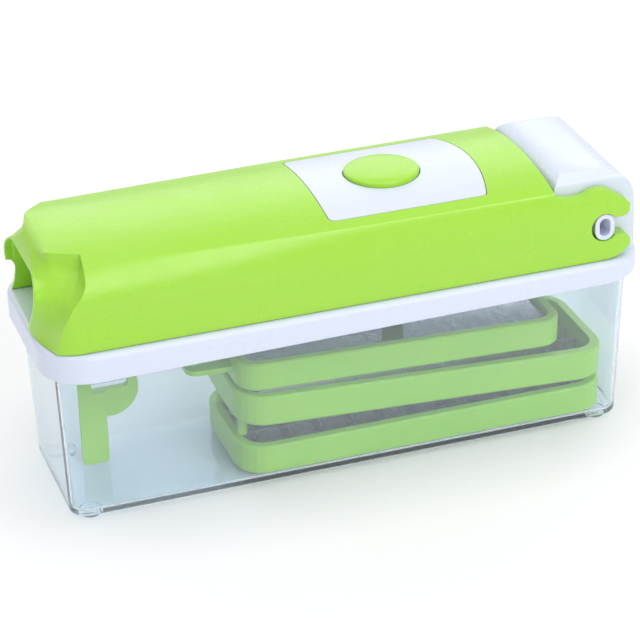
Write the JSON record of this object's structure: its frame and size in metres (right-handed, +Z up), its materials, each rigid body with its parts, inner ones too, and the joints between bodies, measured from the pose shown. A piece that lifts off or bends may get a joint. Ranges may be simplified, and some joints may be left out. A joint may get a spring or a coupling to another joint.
{
  "type": "vegetable dicer",
  "caption": "Hand-pressed vegetable dicer: clear storage tub, white base frame with a blade insert, hinged green pressing lid, spare inserts and a peeler in the tub.",
  "frame": {"origin": "on the surface it stands on, under the middle of the base frame's rim", "axes": "+X along the length towards the lid's hinge, +Y across the width towards the back, +Z up"},
  "size_m": [0.27, 0.0916, 0.127],
  "materials": {
    "green_plastic": "glossy moulded",
    "white_plastic": "glossy moulded",
    "clear_plastic": "clear moulded",
    "blade_steel": "ground"
  },
  "bodies": {
    "tub": {"container": "clear_plastic", "stored_fine_frame": "green_plastic", "stored_fine_blades": "blade_steel", "stored_strip_frame": "green_plastic", "stored_strip_blades": "blade_steel", "stored_slicer_frame": "green_plastic", "stored_slicer_blade": "blade_steel", "peeler_handle": "green_plastic", "peeler_blade": "blade_steel"},
    "base": {"base_frame": "white_plastic", "fitted_frame": "green_plastic", "fitted_blade_long_1": "blade_steel", "fitted_blade_long_2": "blade_steel", "fitted_blade_long_3": "blade_steel", "fitted_blade_cross_01": "blade_steel", "fitted_blade_cross_02": "blade_steel", "fitted_blade_cross_03": "blade_steel", "fitted_blade_cross_04": "blade_steel", "fitted_blade_cross_05": "blade_steel", "fitted_blade_cross_06": "blade_steel", "fitted_blade_cross_07": "blade_steel", "fitted_blade_cross_08": "blade_steel", "fitted_blade_cross_09": "blade_steel", "fitted_blade_cross_10": "blade_steel", "fitted_blade_cross_11": "blade_steel"},
    "lid": {"lid_shell": "green_plastic", "lid_panel": "white_plastic", "pusher_plate": "white_plastic", "button_spring": "blade_steel"},
    "button": {"release_button": "green_plastic"}
  },
  "joints": [
    {"name": "base_lift", "type": "slide", "parent": "tub", "child": "base", "axis": [0, 0, 1], "range_m": [0, 0.06]},
    {"name": "lid_hinge", "type": "hinge", "parent": "base", "child": "lid", "pos_m": [0.1145, 0, 0.1003], "axis": [0, 1, 0], "range_deg": [0, 105]},
    {"name": "button_press", "type": "slide", "parent": "lid", "child": "button", "axis": [0, 0, -1], "range_m": [0, 0.0035], "stiffness_N_per_m": 800, "springref_m": -0.0005, "deforming": ["button_spring"]}
  ]
}
